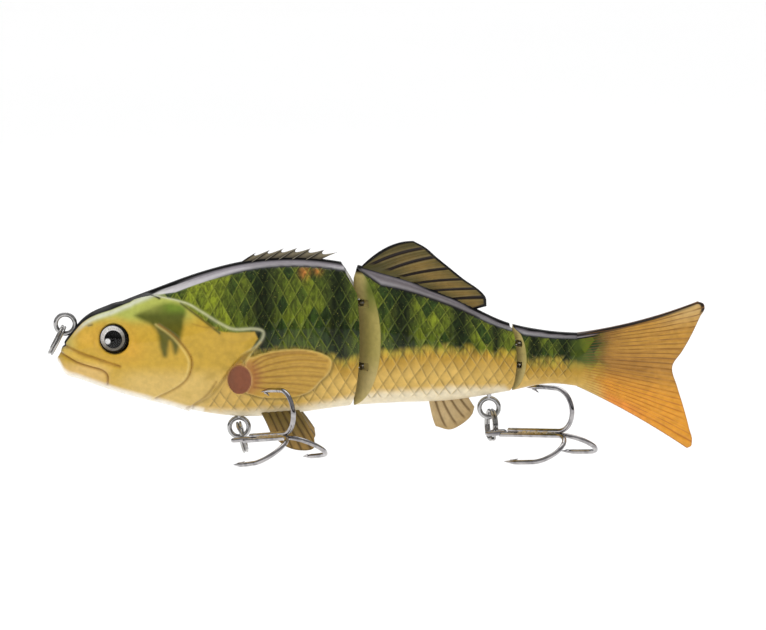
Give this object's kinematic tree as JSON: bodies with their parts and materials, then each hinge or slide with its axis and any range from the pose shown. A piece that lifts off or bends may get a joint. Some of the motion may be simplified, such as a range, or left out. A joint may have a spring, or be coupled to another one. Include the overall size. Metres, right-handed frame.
{
  "type": "jointed swimbait",
  "caption": "Jointed hard fish lure with swinging body sections, a forked fin tail, treble hooks on split rings and a wire line tie.",
  "frame": {"origin": "centre of the line-tie loop on the nose", "axes": "+X from the nose to the tail, +Y to the fish's right side, +Z to its back"},
  "size_m": [0.1541, 0.0418, 0.05],
  "materials": {
    "painted_shell": "airbrushed scale pattern under clear coat",
    "fin_plastic": "satin",
    "eye_foil": "foil",
    "eye_lens": "clear resin",
    "ballast_metal": "turned",
    "nickel_ring": "polished",
    "hook_wire": "bright plated",
    "hanger_wire": "polished",
    "hinge_steel": "polished"
  },
  "bodies": {
    "head": {"eye_foil_left": "eye_foil", "eye_foil_right": "eye_foil", "eye_lens_left": "eye_lens", "eye_lens_right": "eye_lens", "front_hinge_eye_high": "hinge_steel", "front_hinge_eye_low": "hinge_steel", "front_hook_hanger": "hanger_wire", "head_ballast": "ballast_metal", "head_shell_left": "painted_shell", "head_shell_right": "painted_shell", "line_tie_wire": "hanger_wire", "pelvic_fin_left": "fin_plastic", "pelvic_fin_right": "fin_plastic", "spiny_dorsal_fin": "fin_plastic"},
    "middle": {"anal_fin": "fin_plastic", "front_hinge_pin": "hinge_steel", "mid_ballast": "ballast_metal", "mid_shell_left": "painted_shell", "mid_shell_right": "painted_shell", "rear_hinge_eye_high": "hinge_steel", "rear_hinge_eye_low": "hinge_steel", "rear_hook_hanger": "hanger_wire", "second_dorsal_fin": "fin_plastic"},
    "tail": {"rear_hinge_pin": "hinge_steel", "tail_fin": "fin_plastic", "tail_shell_left": "painted_shell", "tail_shell_right": "painted_shell"},
    "nose_ring": {"nose_ring": "nickel_ring"},
    "front_ring": {"front_ring": "nickel_ring"},
    "front_hook": {"front_hook_double": "hook_wire", "front_hook_single": "hook_wire"},
    "rear_ring": {"rear_ring": "nickel_ring"},
    "rear_hook": {"rear_hook_double": "hook_wire", "rear_hook_single": "hook_wire"}
  },
  "joints": [
    {"name": "mid_hinge", "type": "hinge", "parent": "head", "child": "middle", "pos_m": [0.0698, 0, 0], "axis": [0, 0, 1], "range_deg": [-28, 28]},
    {"name": "tail_hinge", "type": "hinge", "parent": "middle", "child": "tail", "pos_m": [0.1066, 0, 0], "axis": [0, 0, 1], "range_deg": [-28, 28]},
    {"name": "nose_ring_swing", "type": "hinge", "parent": "head", "child": "nose_ring", "pos_m": [0, 0, 0], "axis": [0, 1, 0], "range_deg": [-4, 115]},
    {"name": "front_ring_swing", "type": "hinge", "parent": "head", "child": "front_ring", "pos_m": [0.04147, 0, -0.02651], "axis": [0.9703, 0, 0.2419], "range_deg": [-8, 85]},
    {"name": "front_hook_swing", "type": "hinge", "parent": "front_ring", "child": "front_hook", "pos_m": [0.04147, -0.00585, -0.02651], "axis": [-0.1084, 0.1179, 0.9871], "range_deg": [-60, 25]},
    {"name": "rear_ring_swing", "type": "hinge", "parent": "middle", "child": "rear_ring", "pos_m": [0.09971, 0, -0.02203], "axis": [0.9613, 0.2756, 0], "range_deg": [-20, 60]},
    {"name": "rear_hook_swing", "type": "hinge", "parent": "rear_ring", "child": "rear_hook", "pos_m": [0.10096, -0.00434, -0.0251], "axis": [-0.0849, 0.0399, 0.9956], "range_deg": [-60, 25]}
  ]
}
